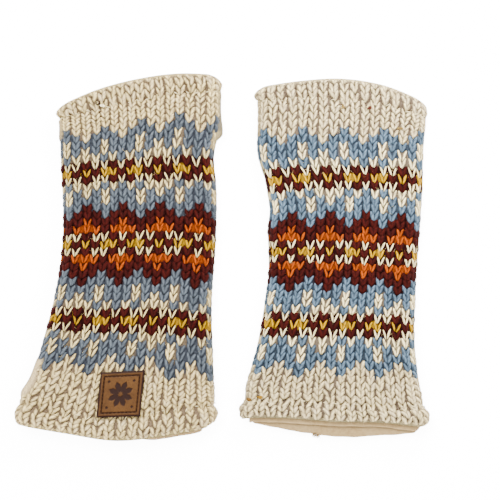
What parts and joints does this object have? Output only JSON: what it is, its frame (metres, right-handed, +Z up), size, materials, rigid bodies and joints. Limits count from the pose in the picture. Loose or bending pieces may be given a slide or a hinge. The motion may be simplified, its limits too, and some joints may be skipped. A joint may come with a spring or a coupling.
{
  "type": "pair of hand warmers",
  "caption": "Fleece-lined fingerless hand warmers in patterned wool knit, laid flat side by side, with thumb slits and a small leather patch.",
  "frame": {"origin": "middle of the pair's outline seen from above, on the surface that it lies on", "axes": "+X across the pair to the right as seen from above, +Y from the wrists to the fingers, +Z up from the surface"},
  "size_m": [0.2456, 0.2176, 0.0173],
  "materials": {
    "knitted_wool": "chunky stranded wool knit in cream, light blue, burgundy, mustard and orange",
    "fleece": "short, soft nap, matt",
    "tan_leather": "smooth tan leather with dark cut edges and a stitched border"
  },
  "bodies": {
    "root": {"left_knit_tube": "knitted_wool", "left_fleece_lining": "fleece", "left_leather_patch": "tan_leather", "right_knit_tube": "knitted_wool", "right_fleece_lining": "fleece"}
  },
  "joints": []
}
